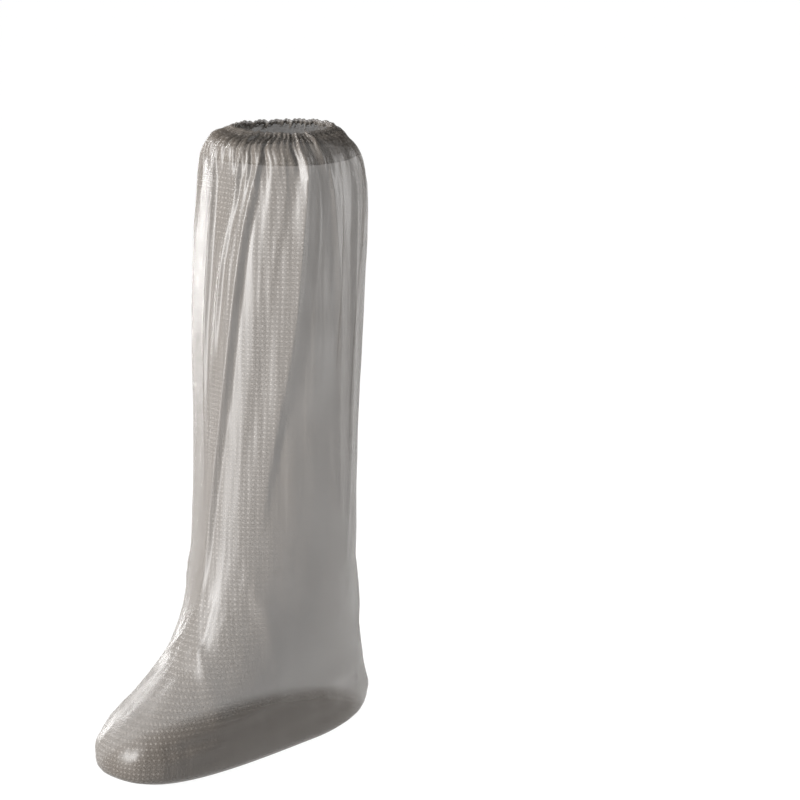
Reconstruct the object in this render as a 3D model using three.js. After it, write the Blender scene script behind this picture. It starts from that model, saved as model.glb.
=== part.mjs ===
// A knee-high rain shoe cover: a thin film boot with a flat sole, a wide leg tube and a gathered cuff.
// Millimetres, +Z up, toe towards -Y. The origin is the middle of the cuff's opening.
import * as THREE from 'three';

// Driving dimensions
const HEIGHT = 504;
const CUFF_SETBACK = 13;
const FILM_WALL = 1.0;
const CHANNEL_GAP = 2.4;
const ELASTIC_THICKNESS = 1.4;
const SOLE_CENTRE = -45;

// The film is a loft through flat sections. Heights are above the sole, and the toe, heel and half columns
// are reaches from the ankle's axis to the front, the back and either side. The ball column widens the
// section towards the toe and narrows it towards the heel, and the powers square off the two ends.
const SECTIONS = [
  { height: 0, toe: 169, heel: 71, half: 42, ball: 0.2, toePower: 2.7, heelPower: 2.6 },
  { height: 7, toe: 185, heel: 82, half: 50, ball: 0.2, toePower: 2.7, heelPower: 2.6 },
  { height: 18, toe: 188, heel: 86.5, half: 53.5, ball: 0.2, toePower: 2.7, heelPower: 2.6 },
  { height: 32, toe: 184.5, heel: 86, half: 54, ball: 0.2, toePower: 2.6, heelPower: 2.5 },
  { height: 46, toe: 169, heel: 84, half: 53, ball: 0.2, toePower: 2.5, heelPower: 2.4 },
  { height: 60, toe: 145, heel: 82, half: 52.5, ball: 0.2, toePower: 2.4, heelPower: 2.4 },
  { height: 76, toe: 121, heel: 78, half: 54, ball: 0.15, toePower: 2.2, heelPower: 2.3 },
  { height: 95, toe: 106, heel: 74, half: 55.5, ball: 0.1, toePower: 2.1, heelPower: 2.2 },
  { height: 116, toe: 94.5, heel: 70.5, half: 58, ball: 0.06, toePower: 2, heelPower: 2.1 },
  { height: 140, toe: 85.5, heel: 67, half: 60.5, ball: 0.03, toePower: 2, heelPower: 2 },
  { height: 172, toe: 79, heel: 64, half: 63, ball: 0, toePower: 2, heelPower: 2 },
  { height: 215, toe: 74.5, heel: 63, half: 65, ball: 0, toePower: 2, heelPower: 2 },
  { height: 275, toe: 71, heel: 63.5, half: 67, ball: 0, toePower: 2, heelPower: 2 },
  { height: 350, toe: 67, heel: 69, half: 69.5, ball: 0, toePower: 2, heelPower: 2 },
  { height: 415, toe: 61, heel: 75.5, half: 69.5, ball: 0, toePower: 2, heelPower: 2 },
  { height: 450, toe: 55.5, heel: 77.5, half: 68.5, ball: 0, toePower: 2, heelPower: 2 },
  { height: 470, toe: 52.5, heel: 75, half: 66.5, ball: 0, toePower: 2, heelPower: 2 },
  { height: 485, toe: 51, heel: 69, half: 63, ball: 0, toePower: 2, heelPower: 2 },
  { height: 494, toe: 49, heel: 60, half: 56.5, ball: 0, toePower: 2, heelPower: 2 },
  { height: 499, toe: 42.5, heel: 56, half: 50.5, ball: 0, toePower: 2, heelPower: 2 },
  { height: 500.5, toe: 32, heel: 54.5, half: 44, ball: 0, toePower: 2, heelPower: 2 },
  { height: HEIGHT, toe: 27, heel: 53, half: 40, ball: 0, toePower: 2, heelPower: 2 },
];

// Soft folds that run down the leg from the cuff: the turn is in degrees from the toe towards +X at the
// fold's top, the drift is how far it has turned at its foot, and the spread is its half width in degrees.
const FOLDS = [
  { turn: 24, drift: -14, spread: 13, depth: 3.4, top: 492, foot: 300 },
  { turn: 59, drift: -25, spread: 14, depth: 3.8, top: 490, foot: 190 },
  { turn: 97, drift: -10, spread: 15, depth: 3.2, top: 488, foot: 170 },
  { turn: 133, drift: 6, spread: 14, depth: 2.6, top: 488, foot: 250 },
  { turn: 168, drift: 8, spread: 15, depth: 3.2, top: 486, foot: 200 },
  { turn: 206, drift: -6, spread: 15, depth: 3.0, top: 486, foot: 260 },
  { turn: 243, drift: 8, spread: 14, depth: 3.4, top: 488, foot: 190 },
  { turn: 281, drift: 9, spread: 14, depth: 3.0, top: 490, foot: 240 },
  { turn: 318, drift: 8, spread: 13, depth: 2.6, top: 490, foot: 280 },
  { turn: 354, drift: -6, spread: 13, depth: 3.4, top: 490, foot: 110 },
];

// The elastic draws the rim into gathers, deepest at the rim and gone a little way down the leg.
const GATHERS = { count: 38, depth: 1.5, reach: 46 };
const COLUMNS = GATHERS.count * 2;

// Places along the leg are counted in rows of the sections' table, from the sole to the rim.
const LAST = SECTIONS.length - 1;
const HEM_FOOT = LAST - 4.2;
const SHOULDER = [LAST - 3, LAST - 2];
const ELASTIC_FOOT = LAST - 0.95;
const ELASTIC_TOP = LAST - 0.35;
const CHANNEL_ROOF = LAST - 0.1;
const LEG_RINGS = 25;
const FOLD_OVER = 1.2;

const FILM = { color: 0x9b958f, roughness: 0.38, metalness: 0, transparent: true, opacity: 0.55 };
const ELASTIC = { color: 0xd8d4cd, roughness: 0.8, metalness: 0 };

const degrees = THREE.MathUtils.degToRad;

function signedPower(value, power) {
  return Math.sign(value) * Math.abs(value) ** power;
}

// One column of the table at a place between its rows, on a smooth curve through them.
function columnAt(name, place) {
  const row = Math.min(Math.floor(place), LAST - 1);
  const value = (index) => SECTIONS[THREE.MathUtils.clamp(index, 0, LAST)][name];
  const [before, start, end, after] = [value(row - 1), value(row), value(row + 1), value(row + 2)];
  const step = place - row;
  const leave = (end - before) / 2;
  const arrive = (after - start) / 2;
  const bend = 3 * (end - start) - 2 * leave - arrive;
  const twist = leave + arrive - 2 * (end - start);
  return start + step * (leave + step * (bend + step * twist));
}

// A point of the smooth film, before folds, at a turn in degrees and a place in the table.
function filmPoint(turn, place) {
  const side = Math.sin(degrees(turn));
  const ahead = Math.cos(degrees(turn));
  const end = ahead > 0 ? 'toe' : 'heel';
  const power = 2 / columnAt(`${end}Power`, place);
  const spread = 1 + columnAt('ball', place) * ahead;
  const x = columnAt('half', place) * spread * signedPower(side, power);
  const y = -columnAt(end, place) * signedPower(ahead, power);
  return new THREE.Vector3(x, y, columnAt('height', place));
}

// The film's own directions at a point: along the leg towards the cuff, and outwards.
function filmFrame(turn, place) {
  const low = filmPoint(turn, Math.max(place - 0.2, 0));
  const high = filmPoint(turn, Math.min(place + 0.2, LAST));
  const along = high.sub(low).normalize();
  const across = filmPoint(turn + 2, place).sub(filmPoint(turn - 2, place));
  const out = across.cross(along).normalize();
  return { along, out };
}

// A smooth hill that is 1 at 0 and 0 from 1 on.
function hill(distance) {
  const share = Math.min(Math.abs(distance), 1);
  return (1 + Math.cos(Math.PI * share)) / 2;
}

// A ridge 1 high with a shallow valley on both sides, which leaves the film's mean size as it was.
function ridge(distance) {
  return 3 * hill(distance) - 2 * hill(distance / 1.5);
}

function foldOut(turn, height) {
  let out = 0;
  for (const fold of FOLDS) {
    const share = (fold.top - height) / (fold.top - fold.foot);
    if (share <= 0 || share >= 1) {
      continue;
    }
    const middle = fold.turn + fold.drift * share;
    const away = THREE.MathUtils.euclideanModulo(turn - middle + 180, 360) - 180;
    const fade = Math.sin(Math.PI * Math.sqrt(share));
    out += fold.depth * fade * ridge(away / fold.spread);
  }
  return out;
}

function gatherOut(column, height) {
  const fade = hill((HEIGHT - height) / GATHERS.reach);
  const unevenness = 0.75 + 0.25 * Math.sin(column * 0.9) * Math.cos(column * 0.37);
  const side = column % 2 === 0 ? 1 : -1;
  return GATHERS.depth * side * unevenness * fade;
}

// One closed ring of the wall: inset is measured inwards from the film's outer face, lift along the leg.
function wallRing({ place, inset, lift = 0 }) {
  const ring = [];
  for (let column = 0; column < COLUMNS; column += 1) {
    const turn = (360 * column) / COLUMNS;
    const point = filmPoint(turn, place);
    const { along, out } = filmFrame(turn, place);
    const ripple = foldOut(turn, point.z) + gatherOut(column, point.z);
    ring.push(point.addScaledVector(out, ripple - inset).addScaledVector(along, lift));
  }
  return ring;
}

// The flat ring where the sole meets the sides, drawn in by the wall and raised by it on the inner face.
function soleRing(inset) {
  const ring = [];
  for (let column = 0; column < COLUMNS; column += 1) {
    const point = filmPoint((360 * column) / COLUMNS, 0);
    const inward = new THREE.Vector3(-point.x, SOLE_CENTRE - point.y, 0).normalize();
    ring.push(point.addScaledVector(inward, inset).setZ(inset));
  }
  return ring;
}

function placesBetween(first, last, count) {
  return Array.from({ length: count }, (_, index) => first + ((last - first) * index) / (count - 1));
}

// Joins each ring to the next one, and closes the ends with flat fans or with each other.
function skin(rings, { closedRound }) {
  const points = rings.flat();
  const triangles = [];
  const joins = closedRound ? rings.length : rings.length - 1;
  for (let join = 0; join < joins; join += 1) {
    const from = join * COLUMNS;
    const to = ((join + 1) % rings.length) * COLUMNS;
    for (let column = 0; column < COLUMNS; column += 1) {
      const next = (column + 1) % COLUMNS;
      triangles.push(from + column, from + next, to + next);
      triangles.push(from + column, to + next, to + column);
    }
  }
  if (!closedRound) {
    const lastRing = (rings.length - 1) * COLUMNS;
    const start = points.push(new THREE.Vector3(0, SOLE_CENTRE, rings[0][0].z)) - 1;
    const end = points.push(new THREE.Vector3(0, SOLE_CENTRE, rings.at(-1)[0].z)) - 1;
    for (let column = 0; column < COLUMNS; column += 1) {
      const next = (column + 1) % COLUMNS;
      triangles.push(start, next, column);
      triangles.push(end, lastRing + column, lastRing + next);
    }
  }
  const geometry = new THREE.BufferGeometry().setFromPoints(points);
  geometry.setIndex(triangles);
  geometry.translate(0, -CUFF_SETBACK, -HEIGHT);
  return geometry;
}

// Up the outside from the sole, over the rim, down and up the turned-in hem, and down the inside.
function bootFilm() {
  const hemOut = FILM_WALL + CHANNEL_GAP;
  const hemIn = hemOut + FILM_WALL;
  const leg = placesBetween(0, HEM_FOOT, LEG_RINGS).slice(1, -1);
  const cuff = [HEM_FOOT, ...SHOULDER, ELASTIC_FOOT, ELASTIC_TOP];
  const channel = [...cuff, CHANNEL_ROOF];
  const rings = (places, inset) => places.map((place) => wallRing({ place, inset }));
  return skin([
    soleRing(0),
    ...rings([...leg, ...cuff, LAST], 0),
    wallRing({ place: LAST, inset: hemIn / 2, lift: FOLD_OVER }),
    ...rings([LAST, ...cuff.toReversed()], hemIn),
    ...rings(channel, hemOut),
    ...rings([...channel.toReversed(), ...leg.toReversed()], FILM_WALL),
    soleRing(FILM_WALL),
  ], { closedRound: false });
}

function elasticBand() {
  const outer = FILM_WALL + (CHANNEL_GAP - ELASTIC_THICKNESS) / 2;
  const inner = outer + ELASTIC_THICKNESS;
  return skin([
    wallRing({ place: ELASTIC_FOOT, inset: outer }),
    wallRing({ place: ELASTIC_TOP, inset: outer }),
    wallRing({ place: ELASTIC_TOP, inset: inner }),
    wallRing({ place: ELASTIC_FOOT, inset: inner }),
  ], { closedRound: true });
}

function piece(name, geometry, finish) {
  const mesh = new THREE.Mesh(geometry, new THREE.MeshStandardMaterial(finish));
  mesh.name = name;
  return mesh;
}

const shoeCover = new THREE.Group();
shoeCover.add(piece('boot_film', bootFilm(), FILM));
shoeCover.add(piece('elastic_band', elasticBand(), ELASTIC));

export default shoeCover;
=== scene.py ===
"""A knee-high rain shoe cover of thin translucent film, gathered at the cuff, standing on a pale floor."""
import logging
import math
from dataclasses import dataclass, field
from enum import Enum

import bmesh
import bpy
import numpy as np
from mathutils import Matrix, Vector, noise


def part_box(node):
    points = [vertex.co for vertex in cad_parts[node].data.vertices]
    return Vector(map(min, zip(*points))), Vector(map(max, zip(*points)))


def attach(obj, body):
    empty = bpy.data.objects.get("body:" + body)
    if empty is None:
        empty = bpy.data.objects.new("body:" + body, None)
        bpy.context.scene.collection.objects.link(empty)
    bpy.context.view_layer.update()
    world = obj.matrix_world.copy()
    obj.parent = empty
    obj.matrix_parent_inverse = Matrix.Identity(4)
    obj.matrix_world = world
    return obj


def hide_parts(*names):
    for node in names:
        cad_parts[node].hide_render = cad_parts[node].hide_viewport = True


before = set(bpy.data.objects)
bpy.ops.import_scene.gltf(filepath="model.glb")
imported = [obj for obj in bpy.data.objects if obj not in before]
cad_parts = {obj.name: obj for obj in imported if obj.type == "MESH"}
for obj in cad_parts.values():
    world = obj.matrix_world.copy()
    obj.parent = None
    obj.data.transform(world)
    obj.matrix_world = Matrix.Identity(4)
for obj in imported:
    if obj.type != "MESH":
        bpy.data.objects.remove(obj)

log = logging.getLogger("shoe_cover")
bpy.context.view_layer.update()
SHORTEST = 1e-9
WHITE = (1.0, 1.0, 1.0, 1.0)
# A wave texture at scale 1 turns through this many radians in a metre.
WAVE_TURN = 20.0


class PieceName(Enum):
    """Names of the pieces that this script adds."""

    FILM = "film_boot_skin"
    ELASTIC = "elastic_ribbon"
    FLOOR = "floor"


class CadNode(Enum):
    """Names of the solids that the pieces stand for."""

    FILM = "boot_film"
    ELASTIC = "elastic_band"


class Slot(Enum):
    """Material slots of the record."""

    FILM = "film"
    ELASTIC = "elastic"


class Half(Enum):
    """The two side panels of the film, which meet along the shin and the heel."""

    OUTER = 90.0
    INNER = 270.0


def hill(distance: np.ndarray) -> np.ndarray:
    """A smooth bump that is 1 at 0 and 0 from 1 on."""
    return 0.5 * (1.0 + np.cos(math.pi * np.clip(np.abs(distance), 0.0, 1.0)))


def signed_power(value: np.ndarray, power: np.ndarray) -> np.ndarray:
    """A power that keeps the sign of its base."""
    return np.sign(value) * np.abs(value) ** power


def unit(vectors: np.ndarray) -> np.ndarray:
    """The vectors along the last axis, made one long."""
    return vectors / np.maximum(np.linalg.norm(vectors, axis=-1, keepdims=True), SHORTEST)


@dataclass(frozen=True)
class Section:
    """One flat section of the film, in metres from the ankle's axis and above the sole."""

    height: float
    toe: float
    heel: float
    half: float
    ball: float = 0.0
    toe_power: float = 2.0
    heel_power: float = 2.0


@dataclass(frozen=True)
class Pleat:
    """A fold that runs down the film: a flat flank up to a crest, and a second flank down from it.

    It opens out from the gathers at its top and dies away at its foot. Turns are in degrees from the
    toe towards +X. Heights and depth are in metres. The crest drifts to one side on its way down, early
    with a bow under 1 and late with one over 1, and sways a little.
    """

    turn: float
    drift: float
    rise: float
    fall: float
    depth: float
    top: float
    foot: float
    bow: float = 1.0
    sway: float = 1.2
    sways: float = 1.5
    mouth: float = 0.4
    mouth_run: float = 0.25
    start_run: float = 0.12
    hold: float = 1.6
    sharpness: float = 1.4

    def out(self, turns: np.ndarray, heights: np.ndarray) -> np.ndarray:
        """How far the pleat lifts the film.

        Args:
            turns: degrees round the leg, one per column.
            heights: height of each point above the sole, rows by columns.

        Returns:
            The lift at each point, rows by columns.
        """
        share = np.clip((self.top - heights) / (self.top - self.foot), 0.0, 1.0)
        sway = self.sway * np.sin(math.tau * self.sways * share + self.turn)
        away = (turns - self.turn - self.drift * share**self.bow - sway + 180.0) % 360.0 - 180.0
        opened = self.mouth + (1.0 - self.mouth) * np.minimum(share / self.mouth_run, 1.0)
        spread = np.where(away < 0.0, self.rise, self.fall) * opened
        begins = np.sin(0.5 * math.pi * np.minimum(share / self.start_run, 1.0))
        ends = np.cos(0.5 * math.pi * share**self.hold)
        flank = np.clip(1.0 - np.abs(away) / spread, 0.0, 1.0)
        return self.depth * begins * ends * flank**self.sharpness


@dataclass(frozen=True)
class Crease:
    """A short soft wrinkle that lies round the foot.

    Its middle is at a turn in degrees and a height in metres, and it climbs by so much a degree.
    """

    turn: float
    height: float
    length: float
    width: float
    depth: float
    climb: float
    lean: float = 0.4
    valley: float = 0.7

    def out(self, turns: np.ndarray, heights: np.ndarray) -> np.ndarray:
        """How far the wrinkle lifts the film.

        Args:
            turns: degrees round the leg, one per column.
            heights: height of each point above the sole, rows by columns.

        Returns:
            The lift at each point, rows by columns.
        """
        away = (turns - self.turn + 180.0) % 360.0 - 180.0
        above = (heights - self.height - self.climb * away) / self.width
        across = hill(above - self.lean) - self.valley * hill(above + self.lean)
        return self.depth * hill(away / self.length) * across


@dataclass
class FilmLoft:
    """The smooth film: a loft through the sections, with the cuff's middle at the origin."""

    setback: float = 0.013
    place_step: float = 0.2
    turn_step: float = 2.0
    sections: tuple[Section, ...] = (
        Section(0.000, 0.1690, 0.0710, 0.0420, 0.20, 2.7, 2.6),
        Section(0.007, 0.1850, 0.0820, 0.0500, 0.20, 2.7, 2.6),
        Section(0.018, 0.1880, 0.0865, 0.0535, 0.20, 2.7, 2.6),
        Section(0.032, 0.1845, 0.0860, 0.0540, 0.20, 2.6, 2.5),
        Section(0.046, 0.1690, 0.0840, 0.0530, 0.20, 2.5, 2.4),
        Section(0.060, 0.1450, 0.0820, 0.0525, 0.20, 2.4, 2.4),
        Section(0.076, 0.1210, 0.0780, 0.0540, 0.15, 2.2, 2.3),
        Section(0.095, 0.1060, 0.0740, 0.0555, 0.10, 2.1, 2.2),
        Section(0.116, 0.0945, 0.0705, 0.0580, 0.06, 2.0, 2.1),
        Section(0.140, 0.0855, 0.0670, 0.0605, 0.03),
        Section(0.172, 0.0790, 0.0640, 0.0630),
        Section(0.215, 0.0745, 0.0630, 0.0650),
        Section(0.275, 0.0710, 0.0635, 0.0670),
        Section(0.350, 0.0670, 0.0690, 0.0695),
        Section(0.415, 0.0610, 0.0755, 0.0695),
        Section(0.450, 0.0555, 0.0775, 0.0685),
        Section(0.470, 0.0525, 0.0750, 0.0665),
        Section(0.485, 0.0510, 0.0690, 0.0630),
        Section(0.494, 0.0490, 0.0600, 0.0565),
        Section(0.499, 0.0425, 0.0560, 0.0505),
        Section(0.5005, 0.0320, 0.0545, 0.0440),
        Section(0.504, 0.0270, 0.0530, 0.0400),
    )

    @property
    def last(self) -> int:
        """The place of the rim, counted in sections from the sole."""
        return len(self.sections) - 1

    @property
    def rim_height(self) -> float:
        """Height of the rim above the sole."""
        return self.sections[-1].height

    def column(self, name: str, places: np.ndarray) -> np.ndarray:
        """One measure of the sections on a smooth curve through them.

        Args:
            name: the field of Section to read.
            places: where to read it, counted in sections from the sole.

        Returns:
            The measure at each place.
        """
        values = np.array([getattr(section, name) for section in self.sections])
        row = np.minimum(np.floor(places).astype(int), self.last - 1)
        before, start = values[np.maximum(row - 1, 0)], values[row]
        end, after = values[row + 1], values[np.minimum(row + 2, self.last)]
        step, leave, arrive = places - row, (end - before) / 2.0, (after - start) / 2.0
        bend = 3.0 * (end - start) - 2.0 * leave - arrive
        twist = leave + arrive - 2.0 * (end - start)
        return start + step * (leave + step * (bend + step * twist))

    def points(self, turns: np.ndarray, places: np.ndarray) -> np.ndarray:
        """Points of the smooth film.

        Args:
            turns: degrees round the leg, one per column.
            places: where each row lies, counted in sections from the sole.

        Returns:
            Points, rows by columns by 3.
        """
        side, ahead = np.sin(np.radians(turns))[None, :], np.cos(np.radians(turns))[None, :]
        read = {name: self.column(name, places)[:, None] for name in Section.__dataclass_fields__}
        power = 2.0 / np.where(ahead > 0.0, read["toe_power"], read["heel_power"])
        reach = np.where(ahead > 0.0, read["toe"], read["heel"])
        x = read["half"] * (1.0 + read["ball"] * ahead) * signed_power(side, power)
        y = -reach * signed_power(ahead, power) - self.setback
        z = np.broadcast_to(read["height"] - self.rim_height, x.shape)
        return np.stack([x, y, z], axis=-1)

    def directions(self, turns: np.ndarray, places: np.ndarray) -> tuple[np.ndarray, np.ndarray]:
        """The film's own directions at each point.

        Args:
            turns: degrees round the leg, one per column.
            places: where each row lies, counted in sections from the sole.

        Returns:
            Unit vectors along the leg towards the cuff, and outwards.
        """
        low = self.points(turns, np.clip(places - self.place_step, 0.0, self.last))
        high = self.points(turns, np.clip(places + self.place_step, 0.0, self.last))
        along = unit(high - low)
        across = self.points(turns + self.turn_step, places) - self.points(turns - self.turn_step, places)
        return along, unit(np.cross(across, along))


@dataclass
class FilmRelief:
    """Everything that lifts the film off its smooth loft: pleats, gathers and crumple.

    Each drift of the puckers has its size, its waves round the rim, its shift, and its shift for each
    pucker in the ring. Beats are the waves of an unevenness round the rim.
    """

    rim_height: float
    gathers: int = 68
    gather_depth: float = 0.0022
    gather_reach: float = 0.017
    edge_hold: float = 0.4
    edge_reach: float = 0.005
    gather_falloff: float = 1.6
    tuck_count: int = 23
    tuck_depth: float = 0.0022
    tuck_reach: float = 0.036
    tuck_start: float = 0.3
    run_swing: float = 0.45
    run_beats: tuple[int, int] = (4, 9)
    run_shift: float = 1.0
    pucker_level: float = 0.72
    pucker_swing: float = 0.28
    pucker_power: float = 0.8
    pucker_beats: tuple[int, int] = (5, 11)
    pucker_shift: float = 0.7
    pucker_drifts: tuple[tuple[float, int, float, float], ...] = (
        (1.5, 3, 0.4, 0.0),
        (1.1, 7, 0.0, 1.0),
        (0.6, 13, 0.0, 0.0),
    )
    ground_reach: float = 0.02
    crumple_depth: float = 0.0008
    crumple_size: float = 0.022
    crumple_stretch: float = 0.13
    crumple_fade: float = 0.6
    crumple_step: float = 2.2
    crumple_octaves: int = 3
    crinkle_depth: float = 0.00045
    crinkle_size: float = 0.034
    crinkle_fade: float = 0.9
    crinkle_step: float = 2.1
    crinkle_octaves: int = 2
    crinkle_offset: float = 0.9
    crinkle_gain: float = 1.6
    crinkle_top: float = 0.16
    crinkle_on_leg: float = 0.35
    pleats: tuple[Pleat, ...] = (
        Pleat(35, -38, 20, 4.0, 0.0060, 0.498, 0.115, 0.55),
        Pleat(66, -27, 18, 4.5, 0.0062, 0.492, 0.190, 1.25),
        Pleat(74, -4, 3.0, 3.0, 0.0014, 0.498, 0.300),
        Pleat(86, 11, 4.5, 13, 0.0040, 0.496, 0.180),
        Pleat(109, -3, 4.5, 13, 0.0040, 0.494, 0.140),
        Pleat(131, 3, 4.5, 13, 0.0034, 0.492, 0.210),
        Pleat(154, 9, 5.0, 15, 0.0046, 0.492, 0.170),
        Pleat(183, -8, 4.0, 19, 0.0058, 0.492, 0.200),
        Pleat(197, -5, 3.5, 6.0, 0.0018, 0.494, 0.300),
        Pleat(212, 12, 4.5, 19, 0.0060, 0.493, 0.130),
        Pleat(238, -7, 5.0, 16, 0.0050, 0.493, 0.220),
        Pleat(251, -5, 4.0, 5.0, 0.0016, 0.494, 0.320),
        Pleat(266, 10, 4.5, 17, 0.0054, 0.493, 0.150),
        Pleat(291, -8, 5.0, 16, 0.0044, 0.494, 0.200),
        Pleat(316, 6, 9.0, 8.0, 0.0028, 0.494, 0.230),
        Pleat(345, 7, 14, 4.0, 0.0040, 0.495, 0.200),
        Pleat(13, -18, 9.0, 3.5, 0.0036, 0.497, 0.290, 0.75),
        Pleat(19, -14, 4.0, 3.0, 0.0016, 0.497, 0.320, 0.80),
        Pleat(49, -12, 6.0, 4.0, 0.0010, 0.496, 0.340),
        Pleat(30, 62, 8.0, 16, 0.0024, 0.160, 0.016),
        Pleat(2, 74, 7.0, 13, 0.0020, 0.105, 0.014),
        Pleat(150, -36, 12, 8.0, 0.0022, 0.150, 0.016),
        Pleat(328, -62, 16, 8.0, 0.0018, 0.160, 0.016),
        Pleat(352, -74, 13, 7.0, 0.0013, 0.105, 0.014),
        Pleat(212, 36, 8.0, 12, 0.0022, 0.150, 0.016),
    )
    creases: tuple[Crease, ...] = (
        Crease(38, 0.036, 26, 0.009, 0.0020, 0.00012),
        Crease(50, 0.024, 22, 0.008, 0.0017, 0.00016),
        Crease(24, 0.022, 18, 0.008, 0.0016, -0.00012),
        Crease(70, 0.044, 20, 0.010, 0.0015, 0.00030),
        Crease(88, 0.026, 20, 0.009, 0.0016, 0.00025),
        Crease(112, 0.032, 24, 0.011, 0.0013, -0.00020),
        Crease(124, 0.052, 26, 0.014, 0.0011, -0.00010),
        Crease(140, 0.022, 22, 0.009, 0.0010, 0.00012),
        Crease(205, 0.040, 26, 0.010, 0.0017, 0.00014),
        Crease(246, 0.028, 24, 0.010, 0.0018, -0.00016),
        Crease(286, 0.036, 24, 0.010, 0.0015, 0.00024),
        Crease(318, 0.034, 24, 0.010, 0.0013, -0.00012),
        Crease(334, 0.022, 18, 0.009, 0.0010, 0.00012),
    )

    def wave(self, turns: np.ndarray, count: int) -> np.ndarray:
        """A ring of uneven puckers with narrow valleys.

        Args:
            turns: degrees round the rim, one per column.
            count: how many puckers go round the rim.

        Returns:
            The wave from -1 in the valleys to 1 on the crests, one per column.
        """
        angle = np.radians(turns)
        phase = count * angle
        for size, waves, shift, shift_each in self.pucker_drifts:
            phase = phase + size * np.sin(waves * angle + shift + shift_each * count)
        slow, fast = self.pucker_beats
        uneven = np.sin(slow * angle + self.pucker_shift * count) * np.cos(fast * angle)
        height = self.pucker_level + self.pucker_swing * uneven
        return height * (2.0 * np.abs(np.cos(phase / 2.0)) ** self.pucker_power - 1.0)

    def pucker(self, turns: np.ndarray, heights: np.ndarray) -> np.ndarray:
        """The gathers that the elastic draws into the rim.

        Args:
            turns: degrees round the leg, one per column.
            heights: height of each point above the sole, rows by columns.

        Returns:
            The lift at each point, rows by columns.
        """
        below = self.rim_height - heights
        angle = np.radians(turns)
        slow, fast = self.run_beats
        run = 1.0 + self.run_swing * np.sin(slow * angle + self.run_shift) * np.sin(fast * angle)
        held = self.edge_hold + (1.0 - self.edge_hold) * hill(1.0 - below / self.edge_reach)
        fine = held * np.exp(-((below / (self.gather_reach * run)) ** self.gather_falloff))
        deep = hill((below - self.tuck_start * self.tuck_reach) / (self.tuck_reach * run))
        return (self.gather_depth * fine * self.wave(turns, self.gathers)
                + self.tuck_depth * deep * self.wave(turns, self.tuck_count))

    def crumple(self, points: np.ndarray) -> np.ndarray:
        """Slow uneven waves of slack film, longer down the leg than round it.

        Args:
            points: points of the smooth film, rows by columns by 3.

        Returns:
            The lift at each point, rows by columns.
        """
        scale = np.array([1.0, 1.0, self.crumple_stretch]) / self.crumple_size
        flat = (points * scale).reshape(-1, 3)
        shape = (self.crumple_fade, self.crumple_step, self.crumple_octaves)
        lifts = [noise.fractal(Vector(place), *shape) for place in flat]
        return self.crumple_depth * np.array(lifts).reshape(points.shape[:2])

    def crinkle(self, points: np.ndarray, heights: np.ndarray) -> np.ndarray:
        """Fine sharp-backed crinkles of stiff film, strongest on the foot.

        Args:
            points: points of the smooth film, rows by columns by 3.
            heights: height of each point above the sole, rows by columns.

        Returns:
            The lift at each point, rows by columns.
        """
        flat = (points / self.crinkle_size).reshape(-1, 3)
        shape = (self.crinkle_fade, self.crinkle_step, self.crinkle_octaves,
                 self.crinkle_offset, self.crinkle_gain)
        lifts = [noise.ridged_multi_fractal(Vector(place), *shape) for place in flat]
        ridges = np.array(lifts).reshape(heights.shape)
        on_foot = hill((heights - 0.5 * self.crinkle_top) / self.crinkle_top)
        strength = np.maximum(on_foot, self.crinkle_on_leg)
        return self.crinkle_depth * strength * (ridges - ridges.mean())

    def out(self, turns: np.ndarray, points: np.ndarray) -> np.ndarray:
        """The whole lift off the smooth film, fading to none at the sole.

        Args:
            turns: degrees round the leg, one per column.
            points: points of the smooth film, rows by columns by 3.

        Returns:
            The lift at each point, rows by columns.
        """
        heights = points[..., 2] + self.rim_height
        folds = sum(pleat.out(turns[None, :], heights) for pleat in self.pleats)
        folds = folds - folds.mean(axis=1, keepdims=True)
        wrinkles = sum(crease.out(turns[None, :], heights) for crease in self.creases)
        slack = self.crumple(points) + self.crinkle(points, heights) + wrinkles
        grounded = np.clip(heights / self.ground_reach, 0.0, 1.0)
        return folds + self.pucker(turns, heights) + grounded * slack


class NodeTree:
    """A short way to add and join a material's nodes."""

    def __init__(self, tree: bpy.types.NodeTree) -> None:
        """Keeps the tree that nodes are added to."""
        self.tree = tree

    def find(self, kind: str) -> bpy.types.Node:
        """The first node of a kind."""
        return next(node for node in self.tree.nodes if node.type == kind)

    def add(self, kind: str, **settings: object) -> bpy.types.Node:
        """A new node.

        Args:
            kind: the node's class name.
            settings: its own properties.

        Returns:
            The node.
        """
        node = self.tree.nodes.new(kind)
        for name, value in settings.items():
            setattr(node, name, value)
        return node

    def join(self, source: bpy.types.Node, output: str | int,
             target: bpy.types.Node, socket: str | int) -> None:
        """Links an output of one node to an input of another."""
        self.tree.links.new(source.outputs[output], target.inputs[socket])

    def vector_math(self, operation: str, source: bpy.types.Node, output: str,
                    second: tuple[float, float, float] | None = None) -> bpy.types.Node:
        """A node that works on one node's vector.

        Args:
            operation: what the node does.
            source: the node that gives the first vector.
            output: the source's output.
            second: the second vector, where the operation takes one.

        Returns:
            The node.
        """
        node = self.add("ShaderNodeVectorMath", operation=operation)
        self.join(source, output, node, 0)
        if second is not None:
            node.inputs[1].default_value = second
        return node

    def math(self, operation: str, source: bpy.types.Node, output: str, second: float) -> bpy.types.Node:
        """A node that works on one node's number and a set number.

        Args:
            operation: what the node does.
            source: the node that gives the first number.
            output: the source's output.
            second: the second number.

        Returns:
            The node.
        """
        node = self.add("ShaderNodeMath", operation=operation)
        self.join(source, output, node, 0)
        node.inputs[1].default_value = second
        return node


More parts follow.
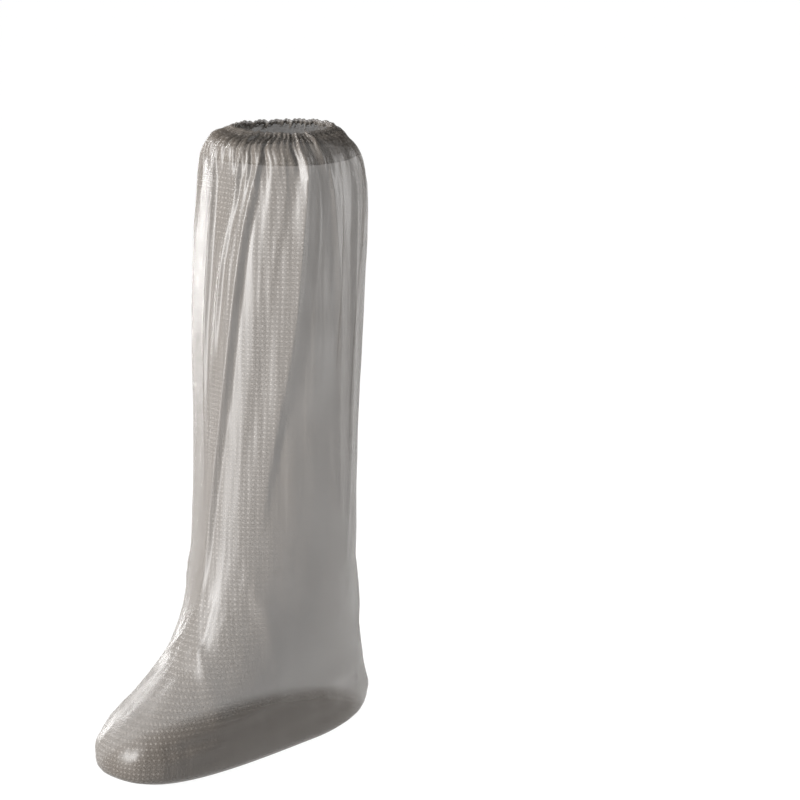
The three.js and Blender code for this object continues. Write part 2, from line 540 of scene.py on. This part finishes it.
@dataclass(frozen=True)
class FilmFinish:
    """Smoky translucent film with an embossed grid of dots that carry a painted glint, and a fine woven
    grain; denser at the sole, partly as painted shade along the bottom edge.
    """

    base_color: tuple[float, float, float, float] = (0.086, 0.073, 0.061, 1.0)
    dot_glint_color: tuple[float, float, float, float] = (0.165, 0.147, 0.129, 1.0)
    alpha: float = 0.39
    alpha_dot: float = 0.05
    alpha_cloud: float = 0.02
    alpha_sole_and_shade: float = 0.34
    sole_height: float = -0.503
    sole_shade_reach: float = 0.011
    shine: float = 0.5
    roughness: float = 0.38
    smoother: float = 0.05
    rougher: float = 0.07
    cloud_scale: float = 22.0
    cloud_detail: float = 4.0
    cloud_range: tuple[float, float] = (0.3, 0.7)
    dot_pitch: float = 0.0039
    dot_radius: float = 0.24
    dot_top: float = 0.55
    dot_height: float = 0.00025
    dot_strength: float = 0.35
    grain_pitch: float = 0.0009
    grain_stretch: float = 0.35
    grain_detail: float = 2.0
    grain_height: float = 0.00012
    grain_strength: float = 0.25

    def material(self) -> bpy.types.Material:
        """The film's material, patterned on the piece's own UV map, which is in metres.

        Returns:
            The material.
        """
        made = bpy.data.materials.new("film_finish")
        made.use_nodes = True
        tree = NodeTree(made.node_tree)
        shader = tree.find("BSDF_PRINCIPLED")
        shader.inputs["Specular IOR Level"].default_value = self.shine
        uv = tree.add("ShaderNodeUVMap", uv_map="film")
        dots = self.dots(tree, uv)
        grain = self.grain(tree, uv)
        cloud = tree.add("ShaderNodeTexNoise")
        cloud.inputs["Scale"].default_value = self.cloud_scale
        cloud.inputs["Detail"].default_value = self.cloud_detail
        tree.join(uv, "UV", cloud, "Vector")
        self.link_color_and_dot_glint(tree, shader, dots)
        self.link_alpha(tree, shader, dots, cloud)
        self.link_gloss(tree, shader, cloud)
        self.link_bump(tree, shader, dots, grain)
        return made

    def dots(self, tree: NodeTree, uv: bpy.types.Node) -> bpy.types.Node:
        """A grid of round embossed dots.

        Args:
            tree: the material's nodes.
            uv: the node that gives the film's coordinates.

        Returns:
            A node whose Result is 1 on a dot and 0 between them.
        """
        scaled = tree.add("ShaderNodeMapping")
        scaled.inputs["Scale"].default_value = (1.0 / self.dot_pitch,) * 3
        tree.join(uv, "UV", scaled, "Vector")
        cell = tree.vector_math("FRACTION", scaled, "Vector")
        centred = tree.vector_math("SUBTRACT", cell, "Vector", (0.5, 0.5, 0.0))
        flat = tree.vector_math("MULTIPLY", centred, "Vector", (1.0, 1.0, 0.0))
        away = tree.vector_math("LENGTH", flat, "Vector")
        edge = tree.add("ShaderNodeMapRange", interpolation_type="SMOOTHSTEP")
        edge.inputs["From Min"].default_value = self.dot_radius
        edge.inputs["From Max"].default_value = self.dot_radius * self.dot_top
        tree.join(away, "Value", edge, "Value")
        return edge

    def grain(self, tree: NodeTree, uv: bpy.types.Node) -> bpy.types.Node:
        """Fine uneven ribs across the leg, like a weave pressed into the film.

        Args:
            tree: the material's nodes.
            uv: the node that gives the film's coordinates.

        Returns:
            A noise node whose Fac is the grain's height.
        """
        stretch = tree.add("ShaderNodeMapping")
        stretch.inputs["Scale"].default_value = (self.grain_stretch / self.grain_pitch,
                                                 1.0 / self.grain_pitch, 1.0)
        tree.join(uv, "UV", stretch, "Vector")
        ribs = tree.add("ShaderNodeTexNoise")
        ribs.inputs["Scale"].default_value = 1.0
        ribs.inputs["Detail"].default_value = self.grain_detail
        tree.join(stretch, "Vector", ribs, "Vector")
        return ribs

    def link_color_and_dot_glint(self, tree: NodeTree, shader: bpy.types.Node, dots: bpy.types.Node) -> None:
        """Paints a glint on the pressed dots: they get a paler base colour than the film between them, a
        painted highlight.

        Args:
            tree: the material's nodes.
            shader: the node whose colour is set.
            dots: the node that marks the dots.
        """
        # Painted glint: the dots' base colour is paler than the film's, standing in for the light that the
        # dots catch.
        blend = tree.add("ShaderNodeMix", data_type="RGBA")
        blend.inputs[6].default_value = self.base_color
        blend.inputs[7].default_value = self.dot_glint_color
        tree.join(dots, "Result", blend, 0)
        tree.join(blend, 2, shader, "Base Color")

    def link_alpha(self, tree: NodeTree, shader: bpy.types.Node, dots: bpy.types.Node,
                   cloud: bpy.types.Node) -> None:
        """Makes the film denser on its dots, in cloudy patches and at the sole, where the extra density is
        partly a thicker sole sheet and partly painted shade along the bottom edge.

        Args:
            tree: the material's nodes.
            shader: the node whose alpha is set.
            dots: the node that marks the dots.
            cloud: the slow noise.
        """
        cloudy = tree.add("ShaderNodeMapRange")
        cloudy.inputs["From Min"].default_value = self.cloud_range[0]
        cloudy.inputs["From Max"].default_value = self.cloud_range[1]
        cloudy.inputs["To Min"].default_value = self.alpha - self.alpha_cloud
        cloudy.inputs["To Max"].default_value = self.alpha + self.alpha_cloud
        tree.join(cloud, "Fac", cloudy, "Value")
        dotted = tree.math("MULTIPLY_ADD", dots, "Result", self.alpha_dot)
        tree.join(cloudy, "Result", dotted, 2)
        total = tree.add("ShaderNodeMath", operation="ADD")
        tree.join(dotted, "Value", total, 0)
        tree.join(self.sole_density_and_shade(tree), "Result", total, 1)
        tree.join(total, "Value", shader, "Alpha")

    def sole_density_and_shade(self, tree: NodeTree) -> bpy.types.Node:
        """How much denser the film is at the sole and just above its edge: partly a thicker sole sheet,
        partly painted shade that darkens the bottom edge.

        Args:
            tree: the material's nodes.

        Returns:
            A node whose Result is the alpha to add.
        """
        place = tree.add("ShaderNodeTexCoord")
        split = tree.add("ShaderNodeSeparateXYZ")
        tree.join(place, "Object", split, "Vector")
        # Painted shade: the dark film is made denser, so darker, along the bottom edge; partly it stands
        # for a thicker sole sheet.
        denser = tree.add("ShaderNodeMapRange", interpolation_type="SMOOTHSTEP")
        denser.inputs["From Min"].default_value = self.sole_height
        denser.inputs["From Max"].default_value = self.sole_height + self.sole_shade_reach
        denser.inputs["To Min"].default_value = self.alpha_sole_and_shade
        denser.inputs["To Max"].default_value = 0.0
        tree.join(split, "Z", denser, "Value")
        return denser

    def link_gloss(self, tree: NodeTree, shader: bpy.types.Node, cloud: bpy.types.Node) -> None:
        """Varies the satin gloss a little.

        Args:
            tree: the material's nodes.
            shader: the node whose roughness is set.
            cloud: the slow noise.
        """
        gloss = tree.add("ShaderNodeMapRange")
        gloss.inputs["To Min"].default_value = self.roughness - self.smoother
        gloss.inputs["To Max"].default_value = self.roughness + self.rougher
        tree.join(cloud, "Fac", gloss, "Value")
        tree.join(gloss, "Result", shader, "Roughness")

    def link_bump(self, tree: NodeTree, shader: bpy.types.Node, dots: bpy.types.Node,
                  grain: bpy.types.Node) -> None:
        """Raises the dots and the grain.

        Args:
            tree: the material's nodes.
            shader: the node whose normal is set.
            dots: the node that marks the dots.
            grain: the fine noise.
        """
        ribbed = tree.add("ShaderNodeBump")
        ribbed.inputs["Strength"].default_value = self.grain_strength
        ribbed.inputs["Distance"].default_value = self.grain_height
        tree.join(grain, "Fac", ribbed, "Height")
        raised = tree.add("ShaderNodeBump")
        raised.inputs["Strength"].default_value = self.dot_strength
        raised.inputs["Distance"].default_value = self.dot_height
        tree.join(dots, "Result", raised, "Height")
        tree.join(ribbed, "Normal", raised, "Normal")
        tree.join(raised, "Normal", shader, "Normal")


@dataclass(frozen=True)
class ElasticFinish:
    """Flat grey elastic with a soft rib along it."""

    pale: tuple[float, float, float, float] = (0.30, 0.28, 0.26, 1.0)
    dark: tuple[float, float, float, float] = (0.17, 0.16, 0.15, 1.0)
    rib_pitch: float = 0.00377
    rib_waver: float = 1.0
    rib_height: float = 0.0002
    roughness: float = 0.8

    def material(self) -> bpy.types.Material:
        """The elastic's material, ribbed along its length on the piece's own UV map.

        Returns:
            The material.
        """
        made = bpy.data.materials.new("elastic_finish")
        made.use_nodes = True
        tree = NodeTree(made.node_tree)
        shader = tree.find("BSDF_PRINCIPLED")
        shader.inputs["Roughness"].default_value = self.roughness
        uv = tree.add("ShaderNodeUVMap", uv_map="ribbon")
        rib = tree.add("ShaderNodeTexWave", bands_direction="Y")
        rib.inputs["Scale"].default_value = math.tau / (self.rib_pitch * WAVE_TURN)
        rib.inputs["Distortion"].default_value = self.rib_waver
        tree.join(uv, "UV", rib, "Vector")
        ramp = tree.add("ShaderNodeValToRGB")
        ramp.color_ramp.elements[0].color = self.dark
        ramp.color_ramp.elements[1].color = self.pale
        tree.join(rib, "Fac", ramp, "Fac")
        tree.join(ramp, "Color", shader, "Base Color")
        ribbed = tree.add("ShaderNodeBump")
        ribbed.inputs["Distance"].default_value = self.rib_height
        tree.join(rib, "Fac", ribbed, "Height")
        tree.join(ribbed, "Normal", shader, "Normal")
        return made


@dataclass(frozen=True)
class FloorFinish:
    """Matt studio floor that is white by its own glow, so that the lamps leave no mark on it."""

    color: tuple[float, float, float, float] = (0.08, 0.08, 0.08, 1.0)
    glow: float = 0.97
    roughness: float = 0.95

    def material(self) -> bpy.types.Material:
        """The floor's material, plain and without shine.

        Returns:
            The material.
        """
        made = bpy.data.materials.new("floor_finish")
        made.use_nodes = True
        tree = NodeTree(made.node_tree)
        shader = tree.find("BSDF_PRINCIPLED")
        shader.inputs["Base Color"].default_value = self.color
        shader.inputs["Roughness"].default_value = self.roughness
        shader.inputs["Specular IOR Level"].default_value = 0.0
        shader.inputs["Emission Color"].default_value = WHITE
        shader.inputs["Emission Strength"].default_value = self.glow
        return made


class RingMesh:
    """A mesh grown ring by ring: each ring is extruded from the last one and then laid in its place."""

    def __init__(self, columns: int) -> None:
        """Starts with the first ring, whose vertices know their column and row.

        Args:
            columns: how many vertices go round a ring.
        """
        self.mesh = bmesh.new()
        self.column = self.mesh.verts.layers.int.new("column")
        self.row = self.mesh.verts.layers.int.new("row")
        self.columns = columns
        ring = bmesh.ops.create_circle(self.mesh, segments=columns, radius=1.0)["verts"]
        for vert in ring:
            angle = math.atan2(vert.co.x, -vert.co.y) % math.tau
            vert[self.column] = round(angle * columns / math.tau) % columns
        self.edge = list(self.mesh.edges)
        self.rows = 1

    def grow(self, count: int) -> None:
        """Extrudes the open edge, ring after ring.

        Args:
            count: how many rings to add.
        """
        for _ in range(count):
            made = bmesh.ops.extrude_edge_only(self.mesh, edges=self.edge)["geom"]
            verts = {item for item in made if isinstance(item, bmesh.types.BMVert)}
            for vert in verts:
                vert[self.row] = self.rows
            self.edge = [item for item in made if isinstance(item, bmesh.types.BMEdge)
                         and item.verts[0] in verts and item.verts[1] in verts]
            self.rows += 1

    def lay(self, points: np.ndarray) -> None:
        """Puts every vertex where its row and column say.

        Args:
            points: rows by columns by 3.
        """
        for vert in self.mesh.verts:
            vert.co = points[vert[self.row], vert[self.column]]

    def cap(self, row: int, middle: Vector) -> None:
        """Closes one end with a fan of faces.

        Args:
            row: the ring to close.
            middle: where the fan's middle goes.
        """
        edges = [edge for edge in self.mesh.edges if all(vert[self.row] == row for vert in edge.verts)]
        made = bmesh.ops.extrude_edge_only(self.mesh, edges=edges)["geom"]
        verts = [item for item in made if isinstance(item, bmesh.types.BMVert)]
        bmesh.ops.pointmerge(self.mesh, verts=verts, merge_co=middle)

    def close_round(self) -> None:
        """Joins the last ring to the first one."""
        first = [edge for edge in self.mesh.edges if all(vert[self.row] == 0 for vert in edge.verts)]
        bmesh.ops.bridge_loops(self.mesh, edges=first + self.edge)

    def unroll(self, name: str, across: np.ndarray, along: np.ndarray, flat_rows: int = 0) -> None:
        """Gives each face corner a flat place in metres, so that a pattern keeps its size.

        Args:
            name: the UV map's name.
            across: the corners' first coordinate, rows by columns and one more for the ring's end.
            along: the second coordinate, laid out alike.
            flat_rows: how many of the first rows lie flat already, and take their places as they lie.
        """
        layer = self.mesh.loops.layers.uv.new(name)
        for face in self.mesh.faces:
            wraps = {loop.vert[self.column] for loop in face.loops} >= {0, self.columns - 1}
            flat = all(loop.vert[self.row] < flat_rows for loop in face.loops)
            for loop in face.loops:
                column, row = loop.vert[self.column], loop.vert[self.row]
                end = self.columns if wraps and column == 0 else column
                loop[layer].uv = loop.vert.co.xy if flat else (across[row, end], along[row, end])

    def finish(self, name: str, outward: Vector) -> bpy.types.Object:
        """Makes the object, smooth and facing outwards.

        Args:
            name: the object's name.
            outward: the way that the first face points on a mesh that is right side out.

        Returns:
            The object, linked to the scene.
        """
        bmesh.ops.recalc_face_normals(self.mesh, faces=self.mesh.faces)
        self.mesh.faces.ensure_lookup_table()
        if self.mesh.faces[0].normal.dot(outward) < 0.0:
            bmesh.ops.reverse_faces(self.mesh, faces=self.mesh.faces)
        for face in self.mesh.faces:
            face.smooth = True
        data = bpy.data.meshes.new(name)
        self.mesh.to_mesh(data)
        self.mesh.free()
        made = bpy.data.objects.new(name, data)
        bpy.context.scene.collection.objects.link(made)
        return made


@dataclass
class BootFilm:
    """The film: sole, foot bag, leg tube and the hem turned in over the rim, as one sheet."""

    loft: FilmLoft
    relief: FilmRelief
    finish: FilmFinish
    columns: int = 464
    sole_rings: int = 5
    foot_rings: int = 38
    leg_rings: int = 29
    cuff_rings: int = 24
    fold_rings: int = 3
    hem_rings: int = 7
    foot_top: float = 9.0
    leg_top: float = 16.0
    hem_foot: float = 4.2
    hem_inset: float = 0.0026
    hem_edge_inset: float = 0.0012
    film_thickness: float = 0.0003
    sole_middle: float = -0.058
    sole_start: float = 0.08
    flat_size: tuple[float, float] = (0.52, 0.66)
    cut_share: float = 0.78
    fine_steps: int = 400
    turns: np.ndarray = field(init=False)

    def __post_init__(self) -> None:
        """Works out the turn of each column."""
        self.turns = np.arange(self.columns) * 360.0 / self.columns

    def even_places(self, first: float, last: float, count: int) -> np.ndarray:
        """Places spaced evenly along the film's side.

        Args:
            first: the place that the rows start after.
            last: the place of the last row.
            count: how many rows.

        Returns:
            The rows' places.
        """
        fine = np.linspace(first, last, self.fine_steps)
        side = self.loft.points(np.array([Half.OUTER.value, 0.0]), fine)
        steps = np.linalg.norm(np.diff(side, axis=0), axis=2).mean(axis=1)
        run = np.concatenate([[0.0], np.cumsum(steps)])
        return np.interp(np.linspace(0.0, run[-1], count + 1)[1:], run, fine)

    def wall(self, places: np.ndarray, inset: np.ndarray, lift: np.ndarray) -> np.ndarray:
        """Rows of the film with its relief.

        Args:
            places: where each row lies, counted in sections from the sole.
            inset: how far inside the outer film each row lies.
            lift: how far each row is moved along the leg.

        Returns:
            Points, rows by columns by 3.
        """
        smooth = self.loft.points(self.turns, places)
        along, out = self.loft.directions(self.turns, places)
        rise = self.relief.out(self.turns, smooth) - inset[:, None]
        return smooth + out * rise[..., None] + along * lift[:, None, None]

    def sole(self) -> np.ndarray:
        """Flat rings from the middle of the sole to its edge.

        Returns:
            Points, rows by columns by 3.
        """
        edge = self.loft.points(self.turns, np.zeros(1))
        middle = np.array([0.0, self.sole_middle, edge[0, 0, 2]])
        shares = np.linspace(self.sole_start, 1.0, self.sole_rings)[:, None, None]
        return middle + (edge - middle) * shares

    def sheet_points(self) -> np.ndarray:
        """Every ring of the sheet, from the middle of the sole to the hem's free edge.

        Returns:
            Points, rows by columns by 3.
        """
        rim = float(self.loft.last)
        up = np.concatenate([
            self.even_places(0.0, self.foot_top, self.foot_rings),
            self.even_places(self.foot_top, self.leg_top, self.leg_rings),
            self.even_places(self.leg_top, rim, self.cuff_rings),
        ])
        over = np.linspace(0.0, math.pi, self.fold_rings + 2)[1:-1]
        down = self.even_places(rim, rim - self.hem_foot, self.hem_rings)
        hang = np.linspace(self.hem_inset, self.hem_edge_inset, self.hem_rings)
        nothing = np.zeros_like
        return np.concatenate([
            self.sole(),
            self.wall(up, nothing(up), nothing(up)),
            self.wall(np.full_like(over, rim), self.hem_inset * (1.0 - np.cos(over)) / 2.0,
                      self.hem_inset * np.sin(over) / 2.0),
            self.wall(down, hang, nothing(down)),
        ])

    def flat_places(self, points: np.ndarray) -> tuple[np.ndarray, np.ndarray]:
        """The film's flat coordinates: round each ring from the middle of its side, and up from the sole.

        Args:
            points: rows by columns by 3.

        Returns:
            The two coordinates, each rows by columns and one more.
        """
        ring = np.concatenate([points, points[:, :1]], axis=1)
        steps = np.linalg.norm(np.diff(ring, axis=1), axis=2)
        run = np.concatenate([np.zeros((len(ring), 1)), np.cumsum(steps, axis=1)], axis=1)
        middles = [round(half.value * self.columns / 360.0) for half in Half]
        outer, inner = middles
        first = np.arange(self.columns + 1)[None, :] <= self.columns // 2
        across = np.where(first, run - run[:, [outer]], run - run[:, [inner]])
        climb = np.linalg.norm(np.diff(ring[:, middles], axis=0), axis=2).mean(axis=1)
        along = np.concatenate([[0.0], np.cumsum(climb)])
        return across, np.broadcast_to(along[:, None], across.shape)

    def build(self) -> bpy.types.Object:
        """Makes the sheet, gives it its thickness and dresses it.

        Returns:
            The film's object.
        """
        points = self.sheet_points()
        sheet = RingMesh(self.columns)
        sheet.grow(len(points) - 1)
        sheet.lay(points)
        sheet.cap(0, Vector((0.0, self.sole_middle, points[0, 0, 2])))
        sheet.unroll("film", *self.flat_places(points), flat_rows=self.sole_rings)
        film = sheet.finish(PieceName.FILM.value, Vector((0.0, 0.0, -1.0)))
        wall = film.modifiers.new("film_thickness", "SOLIDIFY")
        wall.thickness = self.film_thickness
        wall.offset = -1.0
        film.data.materials.append(self.finish.material())
        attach(film, "root")
        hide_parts(CadNode.FILM.value)
        return film


@dataclass
class ElasticRibbon:
    """The flat elastic ring in the hem, which follows the gathers."""

    film: BootFilm
    finish: ElasticFinish
    top: float = 0.35
    foot: float = 0.95
    inset: float = 0.0013
    thickness: float = 0.0009
    corners: int = 8
    corner_power: float = 0.5

    def section(self) -> tuple[np.ndarray, np.ndarray]:
        """The ribbon's rounded section.

        Returns:
            The place and the inset of each corner.
        """
        angle = np.linspace(0.0, math.tau, self.corners, endpoint=False) + math.tau / (2 * self.corners)
        half, middle = (self.foot - self.top) / 2.0, self.film.loft.last - (self.foot + self.top) / 2.0
        power = np.array(self.corner_power)
        places = middle + half * signed_power(np.sin(angle), power)
        insets = self.inset - self.thickness / 2.0 * signed_power(np.cos(angle), power)
        return places, insets

    def build(self) -> bpy.types.Object:
        """Makes the ribbon and dresses it.

        Returns:
            The ribbon's object.
        """
        places, insets = self.section()
        points = self.film.wall(places, insets, np.zeros_like(places))
        ribbon = RingMesh(self.film.columns)
        ribbon.grow(len(points) - 1)
        ribbon.lay(points)
        ribbon.unroll("ribbon", *self.film.flat_places(points))
        ribbon.close_round()
        made = ribbon.finish(PieceName.ELASTIC.value, Vector((0.0, -1.0, 0.0)))
        made.data.materials.append(self.finish.material())
        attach(made, "root")
        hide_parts(CadNode.ELASTIC.value)
        return made


@dataclass(frozen=True)
class Lamp:
    """A soft lamp: where it hangs, how wide and high it is, and its power in watts."""

    name: str
    place: tuple[float, float, float]
    size: tuple[float, float]
    watts: float

    def hang(self, aim: Vector) -> None:
        """Hangs the lamp, out of the camera's sight.

        Args:
            aim: what it points at.
        """
        data = bpy.data.lights.new(self.name, "AREA")
        data.shape = "RECTANGLE"
        data.size, data.size_y = self.size
        data.energy = self.watts
        lamp = bpy.data.objects.new(self.name, data)
        lamp.location = self.place
        lamp.rotation_euler = (aim - Vector(self.place)).to_track_quat("-Z", "Y").to_euler()
        lamp.visible_camera = False
        bpy.context.scene.collection.objects.link(lamp)


@dataclass
class Studio:
    """The floor, the soft light and the camera."""

    floor_finish: FloorFinish
    floor_size: float = 30.0
    floor_drop: float = 0.0005
    camera_distance: float = 2.150
    camera_height: float = 0.807
    camera_azimuth: float = 45.63
    camera_yaw: float = 132.97
    camera_pitch: float = -13.76
    frame_pixels: float = 800.0
    focal_pixels: float = 2712.0
    sensor: float = 36.0
    camera_range: float = 100.0
    clear_layers: int = 32
    side_glow: float = 0.08
    top_glow: float = 0.55
    glow_range: tuple[float, float] = (0.15, 0.9)
    aim: tuple[float, float, float] = (0.0, 0.0, -0.25)
    lamps: tuple[Lamp, ...] = (
        Lamp("key", (-0.25, -1.43, 0.12), (0.34, 1.25), 86.0),
        Lamp("side", (0.80, 1.39, 0.12), (0.30, 1.25), 20.0),
        Lamp("left", (-1.50, 0.00, 0.12), (0.30, 1.25), 28.0),
    )

    def build(self, floor_height: float, ankle_y: float) -> None:
        """Sets up everything round the object.

        Args:
            floor_height: where the floor lies.
            ankle_y: where the ankle's axis stands, which the camera's distance is measured from.
        """
        self.lay_floor(floor_height)
        self.set_camera(floor_height, ankle_y)
        self.set_world()
        for lamp in self.lamps:
            lamp.hang(Vector(self.aim))

    def lay_floor(self, height: float) -> None:
        """Lays a wide plain floor.

        Args:
            height: where its surface lies.
        """
        sheet = bmesh.new()
        bmesh.ops.create_grid(sheet, x_segments=4, y_segments=4, size=self.floor_size / 2.0)
        bmesh.ops.translate(sheet, verts=sheet.verts, vec=(0.0, 0.0, height - self.floor_drop))
        data = bpy.data.meshes.new(PieceName.FLOOR.value)
        sheet.to_mesh(data)
        sheet.free()
        floor = bpy.data.objects.new(PieceName.FLOOR.value, data)
        bpy.context.scene.collection.objects.link(floor)
        data.materials.append(self.floor_finish.material())

    def set_camera(self, floor_height: float, ankle_y: float) -> None:
        """Stands the camera where the photograph was taken from.

        Args:
            floor_height: where the floor lies.
            ankle_y: where the ankle's axis stands.
        """
        azimuth, yaw, pitch = (math.radians(turn) for turn in
                               (self.camera_azimuth, self.camera_yaw, self.camera_pitch))
        lens = bpy.data.cameras.new("camera")
        lens.sensor_width = self.sensor
        lens.lens = self.focal_pixels * self.sensor / self.frame_pixels
        lens.clip_end = self.camera_range
        camera = bpy.data.objects.new("camera", lens)
        camera.location = (self.camera_distance * math.sin(azimuth),
                           ankle_y - self.camera_distance * math.cos(azimuth),
                           floor_height + self.camera_height)
        ahead = Vector((math.cos(pitch) * math.cos(yaw), math.cos(pitch) * math.sin(yaw), math.sin(pitch)))
        camera.rotation_euler = ahead.to_track_quat("-Z", "Y").to_euler()
        bpy.context.scene.collection.objects.link(camera)
        bpy.context.scene.camera = camera

    def set_world(self) -> None:
        """Sets a world that glows softly from above and that the camera sees as white."""
        scene = bpy.context.scene
        scene.view_settings.view_transform = "Standard"
        scene.cycles.transparent_max_bounces = self.clear_layers
        world = bpy.data.worlds.new("studio")
        world.use_nodes = True
        tree = NodeTree(world.node_tree)
        way = tree.add("ShaderNodeTexCoord")
        split = tree.add("ShaderNodeSeparateXYZ")
        tree.join(way, "Generated", split, "Vector")
        dome = tree.add("ShaderNodeMapRange", interpolation_type="SMOOTHSTEP")
        dome.inputs["From Min"].default_value = self.glow_range[0]
        dome.inputs["From Max"].default_value = self.glow_range[1]
        dome.inputs["To Min"].default_value = self.side_glow
        dome.inputs["To Max"].default_value = self.top_glow
        tree.join(split, "Z", dome, "Value")
        seen = tree.add("ShaderNodeLightPath")
        shown = tree.add("ShaderNodeMath", operation="MAXIMUM")
        tree.join(dome, "Result", shown, 0)
        tree.join(seen, "Is Camera Ray", shown, 1)
        glow = tree.find("BACKGROUND")
        glow.inputs["Color"].default_value = WHITE
        tree.join(shown, "Value", glow, "Strength")
        scene.world = world


def main() -> None:
    """Builds the pieces in order."""
    logging.basicConfig(level=logging.INFO, format="%(name)s: %(message)s")
    loft = FilmLoft()
    sole_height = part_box(CadNode.FILM.value)[0][2]
    film = BootFilm(loft, FilmRelief(loft.rim_height), FilmFinish())
    for piece in (film.build(), ElasticRibbon(film, ElasticFinish()).build()):
        log.info("%s: %d faces", piece.name, len(piece.data.polygons))
    Studio(FloorFinish()).build(sole_height, -loft.setback)


if __name__ == "__main__":
    main()
